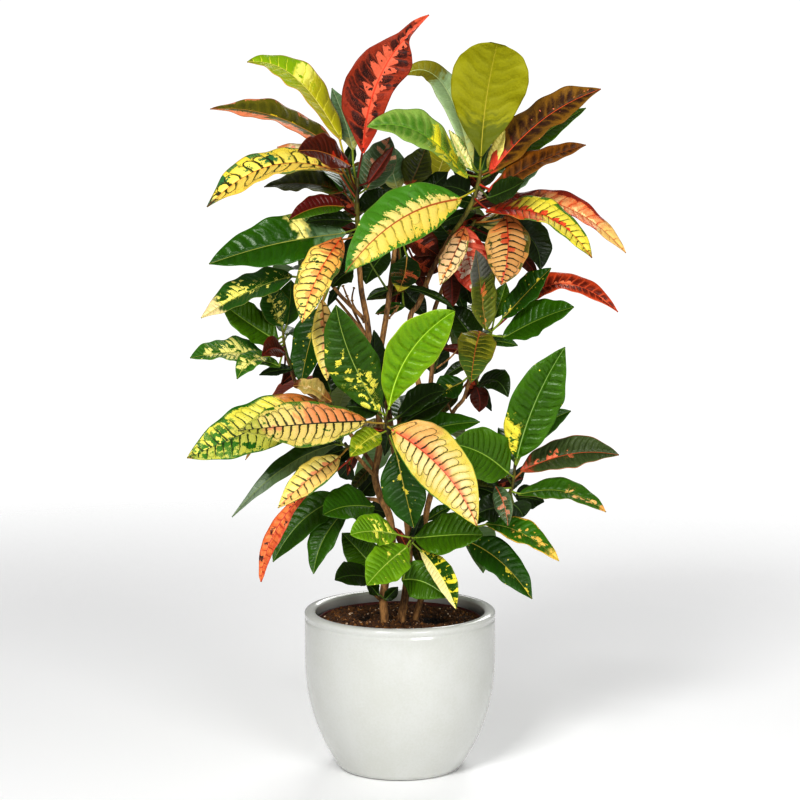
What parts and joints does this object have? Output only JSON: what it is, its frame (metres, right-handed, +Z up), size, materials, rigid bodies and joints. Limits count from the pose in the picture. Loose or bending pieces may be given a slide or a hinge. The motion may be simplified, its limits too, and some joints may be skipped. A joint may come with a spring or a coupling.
{
  "type": "potted croton",
  "caption": "Leafy variegated croton plant with woody branching stems, standing in soil in an inner nursery pot inside a round white glazed planter; a free-standing house plant.",
  "frame": {"origin": "centre of the planter's flat foot, on the surface it stands on", "axes": "+Z up along the planter's axis, -Y towards the front, which is the side that the picture shows, +X to the right of that front"},
  "size_m": [0.4842, 0.3614, 0.8401],
  "materials": {
    "glaze": "smooth glossy white glaze",
    "nursery_plastic": "satin moulded plastic, terracotta brown",
    "earth": "dark crumbly potting mix of peat and bark with a few pale crumbs",
    "bark": "thin grey-brown bark with leaf scars",
    "foliage": "leathery glossy leaf, green with yellow and red markings",
    "foliage_yellow": "leathery glossy leaf, mostly yellow with dark veins and green margins"
  },
  "bodies": {
    "root": {"pot": "glaze", "nursery_pot": "nursery_plastic", "soil": "earth", "trunk_left": "bark", "trunk_middle": "bark", "trunk_right": "bark", "leaves_top_left": "foliage", "leaves_top_right": "foliage_yellow", "leaves_upper_middle": "foliage", "leaves_upper_inner": "foliage", "leaves_right_middle": "foliage", "leaves_left_middle": "foliage", "leaves_left_inner": "foliage", "leaves_left_lower": "foliage_yellow", "leaves_centre": "foliage_yellow", "leaves_lower_left": "foliage", "leaves_low_left": "foliage", "leaves_low_middle": "foliage", "leaves_lower_right": "foliage", "leaves_low_right": "foliage", "leaves_base_left": "foliage", "leaves_back_upper": "foliage", "leaves_back_middle": "foliage", "leaves_back_left": "foliage", "leaves_back_lower": "foliage"}
  },
  "joints": []
}
